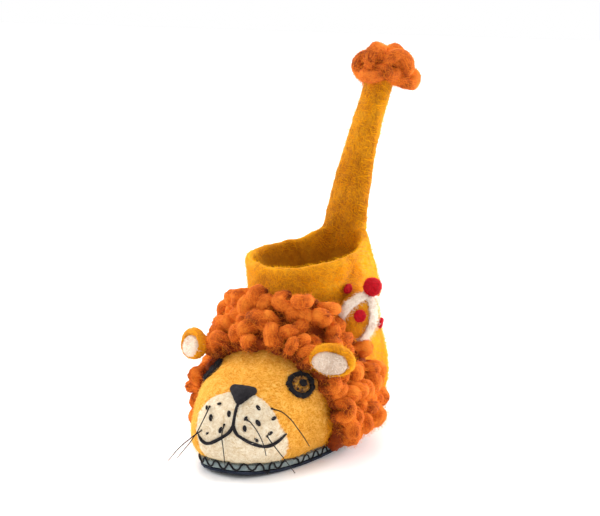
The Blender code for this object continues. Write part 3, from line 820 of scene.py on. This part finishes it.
def model_eyes():
    for side, about in EYES:
        iris = copy_solid("eye_" + side, "iris_" + side)
        swell(iris, -0.0004)
        matt(iris, cell=0.0006, rounds=2, lumps=(0.003, 0.0003), nap=(0.0012, 0.0002))
        dress(iris, iris_wool, "black_felt", "eye_" + side)
        loop = eye_ring_points(about)
        widths = (1, 0.80, 1.2, 0.86, 1.3, 1.05) * 4
        ring = draw_yarn("ring", loop + loop[:2], EYE_YARN, around=3, along=3, radii=widths)
        out, across, up = lie_of_boot(about)
        pupil = press_ball("pupil", segments=20, rings=12, radius=0.0030, shares=(1.05, 0.92, 0.42))
        pupil.matrix_world = stand_on(about + out * PUPIL_LIFT + PUPIL_OFF, out)
        set_in_place(pupil)
        marks = [ring, pupil]
        for tick in range(TICKS):
            turn = 2 * math.pi * tick / TICKS + 0.3
            way = across * math.cos(turn) * 1.2 + up * math.sin(turn)
            reaches = (TICK_STARTS[tick % 2], TICK_MIDDLE, TICK_END)
            ends = [about + way * reach + out * TICK_LIFT for reach in reaches]
            marks.append(draw_yarn("tick", ends, EYE_THREAD, around=1, along=2, radii=(0.6, 1, 1)))
        eye = join(marks, "stitched_eye_" + side)
        matt(eye, cell=0.0005, rounds=4, lumps=(0.003, 0.0009), nap=(0.0012, 0.0004))
        dress(eye, black_wool, "black_felt")
        fibre = {"length": 0.0022, "width": 0.00016, "density": 1500000, "seed": 14}
        raise_fuzz(eye, "eye_fuzz_" + side, black_fibre, "black_felt", **fibre)


# Six waxed whiskers: the root's place across and up the face, then three steps from it in millimetres.
WHISKERS = (
    ((0.0190, 0.0470), (7.5, 1.0, -2.0), (16.5, 7.5, -15.5), (20.0, 13.5, -26.0)),
    ((0.0080, 0.0415), (4.5, -2.5, -1.0), (12.5, -2.5, -12.5), (14.5, -2.0, -21.0)),
    ((0.0185, 0.0304), (4.5, -2.5, -3.0), (12.0, -3.5, -10.0), (20.5, -1.5, -21.0)),
    ((-0.0062, 0.0376), (0.5, -4.0, -6.0), (1.5, -4.5, -13.0), (3.5, -4.5, -30.0)),
    ((-0.0192, 0.0464), (-1.5, -5.0, -7.0), (-6.0, -7.5, -17.0), (-18.5, -10.0, -34.0)),
    ((-0.0225, 0.0316), (-5.0, -6.0, -4.5), (-12.0, -7.5, -11.0), (-20.5, -8.0, -21.0)),
)


def model_whiskers():
    hairs = []
    for (across, height), *way in WHISKERS:
        root = on_face(across, height, LIP_LIFT)[0]
        path = [root] + [root + Vector(step) * MM for step in way]
        hairs.append(draw_yarn("hair", path, WHISKER, around=1, along=6, radii=(1.2, 1, 0.9, 0.7)))
        put_down()
        bpy.ops.mesh.primitive_uv_sphere_add(segments=8, ring_count=6, radius=WHISKER_KNOT, location=root)
        set_in_place(bpy.context.object)
        hairs.append(bpy.context.object)
    whiskers = join(hairs, "whiskers")
    dress(whiskers, black_wool, "black_felt")


# Ears and crown


def model_ears():
    for side in ("outer", "inner"):
        ear = copy_solid("ear_" + side, "felt_ear_" + side)
        matt(ear, cell=0.0008, rounds=3, lumps=(0.008, 0.0018), nap=(0.002, 0.0004))
        dress(ear, ear_felt, "golden_felt", "ear_" + side)
        fibre = {"length": 0.0030, "width": 0.00018, "density": 420000, "seed": 8}
        raise_fuzz(ear, "ear_fuzz_" + side, gold_fibre, "golden_felt", **fibre)
        pad = copy_solid("ear_pad_" + side, "felt_ear_pad_" + side)
        swell(pad, 0.0008)
        matt(pad, cell=0.0006, rounds=3, lumps=(0.005, 0.0010), nap=(0.002, 0.0004))
        dress(pad, pale_felt, "pale_felt", "ear_pad_" + side)
        fibre = {"length": 0.0026, "width": 0.00016, "density": 420000, "seed": 9}
        raise_fuzz(pad, "ear_pad_fuzz_" + side, white_fibre, "pale_felt", **fibre)


def model_crown():
    dome = copy_solid("crown_dome", "felt_crown_dome")
    matt(dome, cell=0.0009, rounds=2, lumps=(0.006, 0.0010), nap=(0.002, 0.0003))
    dress(dome, ear_felt, "golden_felt", "crown_dome")
    fibre = {"length": 0.0030, "width": 0.00018, "density": 420000, "seed": 10}
    raise_fuzz(dome, "crown_fuzz", gold_fibre, "golden_felt", **fibre)
    bands = copy_solid("crown_straps", "crown_bands")
    swell(bands, 0.0003)
    matt(bands, cell=0.00055, rounds=3, lumps=(0.004, 0.0014), nap=(0.0014, 0.0005))
    dress(bands, white_wool, "white_felt", "crown_straps")
    fibre = {"length": 0.0034, "width": 0.00018, "density": 1200000, "seed": 11}
    raise_fuzz(bands, "band_fuzz", white_fibre, "white_felt", **fibre)
    fibre = {"length": 0.0024, "width": 0.00016, "density": 1200000, "seed": 12}
    for node_name in ("crown_ball", "crown_dot_top", "crown_dot_front", "crown_dot_back"):
        bobble = copy_solid(node_name, node_name + "_felt")
        if node_name != "crown_ball":
            swell(bobble, 0.0006)
        cell = 0.0006 if node_name == "crown_ball" else 0.0004
        matt(bobble, cell, rounds=3, lumps=(0.003, 0.0010), nap=(0.0012, 0.0004))
        dress(bobble, red_felt, "red_felt", node_name)
        raise_fuzz(bobble, node_name + "_fuzz", red_fibre, "red_felt", **fibre)


# The mane


# The band of felt that carries the mane: its heights, and its edges at the floor with their lean.
MANE_LOW = 0.008
MANE_TOP = 0.104
MANE_FRONT = -0.031
MANE_FRONT_LEAN = 0.021
MANE_BACK = 0.026
MANE_BACK_LEAN = 0.038


def under_mane(spot, margin):
    """Whether a place on the boot lies under the mane."""
    up = (spot.z - MANE_LOW) / (MANE_TOP - MANE_LOW)
    front = MANE_FRONT - MANE_FRONT_LEAN * min(1.0, up * 1.5) + margin
    back = MANE_BACK - MANE_BACK_LEAN * max(up, 0.0) ** 1.8 - margin
    return MANE_LOW < spot.z < MANE_TOP and front < spot.y < back


# The mane goes round the foot alone forward of FOOT_END, and round the leg behind it.
FOOT_HEIGHT = 0.030
FOOT_END = -0.022
BOOT_HEART = Vector((0, 0.030, FOOT_HEIGHT))
ROOT_TRIES = 24000
ROOT_LOW = 0.009
ROOT_SPACING = 0.0082
ROOT_MARGIN = 0.003


def scatter_roots():
    """Places for the loops on the boot's outside, none nearer to another than the spacing."""
    chance = random.Random(7)
    roots = []
    for _ in range(ROOT_TRIES):
        height = chance.uniform(ROOT_LOW, MANE_TOP)
        y = chance.uniform(-0.06, 0.03)
        turn = chance.uniform(-0.35, math.pi + 0.35)
        away = Vector((math.cos(turn), 0, math.sin(turn)))
        start = Vector((0, y, FOOT_HEIGHT if y < FOOT_END else height)) + away * 0.12
        spot, out, _, _ = boot_skin.ray_cast(start, -away)
        if not spot or out.dot(away) < 0.1 or not under_mane(spot, ROOT_MARGIN):
            continue
        if out.dot(spot - BOOT_HEART) < 0:
            continue
        if all((spot - other).length > ROOT_SPACING for other, _ in roots):
            roots.append((spot, out))
    return roots


# Five loops of yarn, each a path in millimetres over its root.
LOOP_PATHS = (
    ((-2.4, 0, -4), (-3.3, 0, 2), (-2.7, 0, 6.4), (0.1, 0, 8), (2.8, 0, 6.2), (3.3, 0, 1.8), (2.4, 0, -4)),
    ((-1.6, 0, -4), (-3.0, 0.4, 2.2), (-2.6, 1.2, 6.2), (0.4, 2.6, 7.6), (3.4, 1.6, 4.8), (3.0, -0.6, -1.5)),
    ((-1.2, 0, -4), (-2.6, -0.8, 2.6), (-1.0, -1.4, 7.2), (2.4, 0.2, 7.0), (3.0, 1.4, 2.6), (1.0, 1.8, -3)),
    ((-4, 0, -4), (-4.4, 0.3, 1.4), (-3.6, 0.6, 5.8), (0, 0.6, 7.6), (3.4, 0, 6.4), (4.4, 0, 2), (4, 0, -3)),
    ((-1.0, 0, -4), (-1.6, 0, 2.0), (-0.6, 0.4, 6.4), (1.8, 1.4, 6.8), (2.6, 1.8, 2.4), (2.0, 1.8, -3)),
)


def model_loops():
    """Makes each loop of yarn once."""
    loops = []
    for number, path in enumerate(LOOP_PATHS):
        points = [Vector(p) * MM for p in path]
        widths = [0.70, 0.88, 1.06, 1.10, 1.00, 0.86, 0.7][: len(points)]
        loops.append(draw_yarn("loop_%d" % number, points, MANE_YARN, radii=widths))
    return loops


# How near a loop's heart may come to the crown, to an eye and to an ear.
CROWN_ROOM = 0.0225
EYE_ROOM = 0.0125
EAR_ROOM = 0.0135
# How near the matted pad may come to an eye.
PAD_ROOM = 0.014
PAD_MARGIN = 0.0045


def clear_of_fittings(spot):
    """Whether a loop's heart stays off the eyes, ears and crown."""
    rooms = [(CROWN, CROWN_ROOM)]
    rooms += [(eye, EYE_ROOM) for _, eye in EYES]
    rooms += [(ear, EAR_ROOM) for ear in EARS]
    return all((spot - fitting).length >= room for fitting, room in rooms)


def model_mane_base():
    """The matted pad that the loops are sewn to, raised from the boot's outside, dark as painted shade."""
    base = copy_solid("upper", "mane_base")
    open_mesh(base)
    bpy.ops.mesh.subdivide(number_cuts=2)
    put_down()
    bpy.context.scene.tool_settings.mesh_select_mode = (False, False, True)
    for face in base.data.polygons:
        spot = face.center
        outside = face.normal.dot(Vector((spot.x, 0, spot.z - FOOT_HEIGHT))) > 0
        near_eye = min((spot - eye).length for _, eye in EYES) < PAD_ROOM
        face.select = not (outside and under_mane(spot, PAD_MARGIN)) or near_eye
    pick_up(base)
    bpy.ops.object.mode_set(mode="EDIT")
    bpy.ops.mesh.delete(type="FACE")
    put_down()
    bpy.context.scene.tool_settings.mesh_select_mode = (True, False, False)
    add_step(base, "SOLIDIFY", thickness=0.0085, offset=0.75)
    matt(base, cell=0.0016, rounds=6, lumps=(0.007, 0.0036), nap=(0.003, 0.0010))
    dress(base, under_mane_shade_wool, "russet_wool")


def mark_standoff(piece, distance, start, rise):
    """Marks each spot from 0 deep in the wool to 1 at its outside, so that painted shade darkens its depths.
    """
    values = [min(1.0, max(0.0, (distance(corner.co) - start) / rise)) for corner in piece.data.vertices]
    paint = piece.data.attributes.new("standoff", "FLOAT", "POINT")
    paint.data.foreach_set("value", values)


LOWEST_LOOP = 0.0165
LOOP_DEPTH = 0.0036
INNER_DEPTH = 0.002
HEART_HEIGHT = 0.006


def model_mane():
    chance = random.Random(12)
    model_mane_base()
    loops = model_loops()
    places = [[] for _ in loops]
    for spot, out in scatter_roots():
        inner = INNER_DEPTH * smooth(0.0, 0.02, -spot.x)
        depth = LOOP_DEPTH + inner + chance.uniform(-0.0010, 0.0042)
        size = chance.uniform(0.90, 1.20)
        lean = Vector([chance.gauss(0, 0.28) for _ in range(3)])
        facing = (out + lean).normalized()
        root = spot + out * depth
        heart = root + facing * HEART_HEIGHT
        if not clear_of_fittings(heart):
            continue
        root.z += max(0.0, LOWEST_LOOP - heart.z)
        spin = chance.uniform(0, math.pi)
        places[chance.randrange(len(loops))].append(stand_on(root, facing, spin, size))
    copies = []
    for loop, spots in zip(loops, places):
        copies += copy_to(loop, spots)
        bpy.data.objects.remove(loop)
    mane = join(copies, "mane_loops")
    set_in_place(mane)
    add_lumps(mane, "_slubs", size=0.0042, height=0.0020)
    apply_steps(mane)
    mark_standoff(mane, lambda spot: boot_skin.find_nearest(spot)[3], start=0.0050, rise=0.0060)
    return dress(mane, mane_wool, "russet_wool", "mane")


# The tail's tuft


TUFT_HEART = Vector((0.0185, 0.108, 0.2475))
# Each cord's path from the tuft's heart, in millimetres: to the viewer's right, nearer and up.
TUFT_CORDS = (
    ((-4, 0, -5), (-13, 0, -6), (-19, 1, 0), (-18, 2, 7), (-12, 2, 9), (-6, 0, 3)),
    ((-11, 5, -4), (-11.5, 7.5, 4), (-9, 7.5, 13), (-5, 6, 15.5), (-3, 4, 9), (-3, 2, 0)),
    ((-2, 2, -2), (-15, 8, -3), (-11, 11, -5), (-5, 11, -4), (-1, 7, -3)),
    ((0, 2, -4), (1, 7, 4), (5, 8.5, 9), (11, 7.5, 10.5), (15.5, 6, 6), (16, 5, -1), (9, 4, -6)),
    ((2, 4, -7), (9, 6, -7.5), (15, 5, -9.5), (20, 3, -10.5), (21, 0, -5), (12, -2, -2)),
    ((2, -2, 3), (3, -1, 10), (7, -3, 13.5), (11, -5, 9), (8, -4, 0)),
    ((-2, -2, 0), (-10, -8, 2), (-9, -10, 9), (-2, -9, 13), (3, -6, 6)),
    ((0, -3, -4), (6, -11, -4), (13, -9, 1), (14, -6, 8), (8, -4, 5)),
    ((-3, -3, -5), (-13, -7, -7), (-14, -4, -1), (-7, -9, -4), (0, -10, -8), (6, -5, -7)),
    ((-8, 3, -1), (0, 9, 1), (4, 10, -4), (10, 7, -2)),
    ((0, 2, 2), (4, 4, 5), (9, 3, 3), (12, 0, 0)),
)


def model_tuft():
    cords = []
    for path in TUFT_CORDS:
        points = []
        for right, near, up in path:
            points.append(TUFT_HEART + (VIEW_RIGHT * right - VIEW_AWAY * near + UP * up) * MM)
        widths = [0.85] + [1.0, 1.08, 0.96, 1.06, 0.98][: len(points) - 2] + [0.85]
        cords.append(draw_yarn("cord", points, TUFT_YARN, around=4, along=6, radii=widths))
    tuft = join(cords, "tail_tuft_cords")
    add_lumps(tuft, "_slubs", size=0.0050, height=0.0018)
    apply_steps(tuft)
    mark_standoff(tuft, lambda spot: (spot - TUFT_HEART).length, start=0.0070, rise=0.0080)
    return dress(tuft, tuft_wool, "russet_wool", "tail_tuft")


# Loose fibres


# A fibre's rise and sideways bend as shares of its length, its curl in radians, and its taper.
FIBRE_RISE = 0.34
FIBRE_BEND = 0.22
FIBRE_CURL = 2.2
FIBRE_TAPER = 0.6
SMALLEST_FIBRE = 0.45
LARGEST_FIBRE = 1.35


def model_hair(name, length, width):
    """One loose fibre, a narrow strip that lifts off the felt and curls back at its tip."""
    put_down()
    bpy.ops.mesh.primitive_grid_add(x_subdivisions=2, y_subdivisions=1, size=1)
    hair = bpy.context.object
    hair.name = name
    open_mesh(hair)
    bpy.ops.transform.resize(value=(length, width, 1))
    bpy.ops.transform.translate(value=(length / 2, 0, 0))
    put_down()
    for corner in hair.data.vertices:
        along = corner.co.x / length
        corner.co.z = length * FIBRE_RISE * math.sin(along * FIBRE_CURL)
        corner.co.y = corner.co.y * (1 - FIBRE_TAPER * along) + length * FIBRE_BEND * along**2
    return hair


def scatter_plan(name, hair, density, seed, spared):
    """The nodes that scatter a fibre over a piece, except on a spared area, and make every copy real."""
    plan = bpy.data.node_groups.new(name, "GeometryNodeTree")
    plan.interface.new_socket("Geometry", in_out="INPUT", socket_type="NodeSocketGeometry")
    plan.interface.new_socket("Geometry", in_out="OUTPUT", socket_type="NodeSocketGeometry")
    start = node(plan, "NodeGroupInput")
    scatter = node(plan, "GeometryNodeDistributePointsOnFaces")
    scatter.inputs["Seed"].default_value = seed
    scatter.inputs["Density"].default_value = density
    plan.links.new(start.outputs[0], scatter.inputs["Mesh"])
    if spared:
        area = node(plan, "GeometryNodeInputNamedAttribute", data_type="FLOAT")
        area.inputs["Name"].default_value = spared
        bare = node(plan, "FunctionNodeCompare", operation="LESS_THAN")
        bare.inputs["B"].default_value = 0.5
        plan.links.new(area.outputs["Attribute"], bare.inputs["A"])
        plan.links.new(bare.outputs["Result"], scatter.inputs["Selection"])
    source = node(plan, "GeometryNodeObjectInfo")
    source.inputs["Object"].default_value = hair
    turn = node(plan, "FunctionNodeRandomValue", data_type="FLOAT")
    turn.inputs["Max"].default_value = 2 * math.pi
    spin = node(plan, "ShaderNodeCombineXYZ")
    plan.links.new(turn.outputs[1], spin.inputs["Z"])
    facing = node(plan, "FunctionNodeRotateRotation", rotation_space="LOCAL")
    plan.links.new(scatter.outputs["Rotation"], facing.inputs["Rotation"])
    plan.links.new(spin.outputs[0], facing.inputs["Rotate By"])
    size = node(plan, "FunctionNodeRandomValue", data_type="FLOAT")
    size.inputs["Min"].default_value = SMALLEST_FIBRE
    size.inputs["Max"].default_value = LARGEST_FIBRE
    copies = node(plan, "GeometryNodeInstanceOnPoints")
    plan.links.new(scatter.outputs["Points"], copies.inputs["Points"])
    plan.links.new(source.outputs["Geometry"], copies.inputs["Instance"])
    plan.links.new(facing.outputs["Rotation"], copies.inputs["Rotation"])
    plan.links.new(size.outputs[1], copies.inputs["Scale"])
    real = node(plan, "GeometryNodeRealizeInstances")
    plan.links.new(copies.outputs["Instances"], real.inputs["Geometry"])
    end = node(plan, "NodeGroupOutput")
    plan.links.new(real.outputs["Geometry"], end.inputs[0])
    return plan


def raise_fuzz(piece, name, finish, slot, length, width, density, seed, spared=None):
    """A haze of loose fibres standing off a piece, as its own piece, so many to the square metre."""
    hair = model_hair(name + "_fibre", length, width)
    fuzz = bpy.data.objects.new(name, piece.data.copy())
    bpy.context.scene.collection.objects.link(fuzz)
    add_step(fuzz, "NODES", node_group=scatter_plan(name, hair, density, seed, spared))
    apply_steps(fuzz)
    bpy.data.objects.remove(hair)
    dress(fuzz, finish, slot)


# The studio


def set_up_floor():
    put_down()
    bpy.ops.mesh.primitive_plane_add(size=8, location=(0, 0, 0))
    floor = bpy.context.object
    floor.name = "floor"
    finish, _, shader = new_finish("pale floor")
    shader.inputs["Base Color"].default_value = (0.93, 0.93, 0.94, 1)
    shader.inputs["Roughness"].default_value = 0.55
    floor.data.materials.append(finish)


def add_light(name, place, aim, size, power):
    put_down()
    bpy.ops.object.light_add(type="AREA", location=place)
    light = bpy.context.object
    light.name = name
    light.data.shape = "DISK"
    light.data.size = size
    light.data.energy = power
    light.rotation_euler = (Vector(aim) - Vector(place)).to_track_quat("-Z", "Y").to_euler()


def set_up_light():
    bpy.context.scene.view_settings.view_transform = "Standard"
    world = bpy.data.worlds.new("white room")
    bpy.context.scene.world = world
    world.use_nodes = True
    backdrop = world.node_tree.nodes["Background"]
    backdrop.inputs["Color"].default_value = (1, 1, 1, 1)
    backdrop.inputs["Strength"].default_value = 1.0
    aim = UP * 0.10
    add_light("right box", VIEW_RIGHT * 1.35 + VIEW_AWAY * 0.55 + UP * 0.55, aim, size=0.8, power=32)
    add_light("left box", -VIEW_RIGHT * 1.35 + VIEW_AWAY * 0.55 + UP * 0.60, aim, size=0.8, power=18)
    add_light("top box", VIEW_AWAY * 0.3 - VIEW_RIGHT * 0.3 + UP * 1.7, aim, size=0.9, power=13)
    add_light("far floor box", VIEW_AWAY * 3.2 + UP * 2.2, VIEW_AWAY * 2.6, size=2.5, power=60)


def set_up_camera():
    """Stands where the photographer stood, aimed at the middle of the one shoe."""
    back = Vector(
        (
            math.sin(VIEW_TURN) * math.cos(VIEW_RISE),
            -math.cos(VIEW_TURN) * math.cos(VIEW_RISE),
            math.sin(VIEW_RISE),
        )
    )
    up = back.cross(VIEW_RIGHT)
    stand = VIEW_AIM + back * VIEW_DISTANCE
    aim = VIEW_AIM + VIEW_RIGHT * 0.0038 + up * 0.0658
    put_down()
    bpy.ops.object.camera_add(location=stand)
    camera = bpy.context.object
    camera.data.sensor_width = FILM_WIDTH
    camera.data.lens = FILM_WIDTH * FOCAL_PIXELS / FRAME_PIXELS
    camera.data.clip_start = 0.01
    camera.rotation_euler = (aim - stand).to_track_quat("-Z", "Y").to_euler()
    bpy.context.scene.camera = camera


boot = model_boot()
model_soles()
model_sole_stitching()
model_nose()
model_smile()
model_freckles()
model_eyes()
model_whiskers()
model_ears()
model_crown()
mane = model_mane()
tuft = model_tuft()
long_fibre = {"length": 0.0044, "width": 0.00022, "density": 430000, "seed": 4}
# The golden fibres leave out the face and the painted shade inside the boot.
raise_fuzz(boot, "boot_fuzz", gold_fibre, "golden_felt", **long_fibre, spared="face_or_painted_inside_shade")
short_fibre = {"length": 0.0030, "width": 0.00014, "density": 430000, "seed": 13}
raise_fuzz(boot, "face_fuzz", face_fibre, "golden_felt", **short_fibre, spared="off_face")
muzzle_hair = {"length": 0.0026, "width": 0.00014, "density": 430000, "seed": 15}
raise_fuzz(boot, "muzzle_fuzz", pale_fibre, "golden_felt", **muzzle_hair, spared="off_muzzle")
mane_hair = {"length": 0.0044, "width": 0.00015, "density": 400000, "seed": 5}
raise_fuzz(mane, "mane_fuzz", russet_fibre, "russet_wool", **mane_hair)
tuft_hair = {"length": 0.0044, "width": 0.00020, "density": 450000, "seed": 6}
raise_fuzz(tuft, "tuft_fuzz", russet_fibre, "russet_wool", **tuft_hair)
set_up_floor()
set_up_light()
set_up_camera()
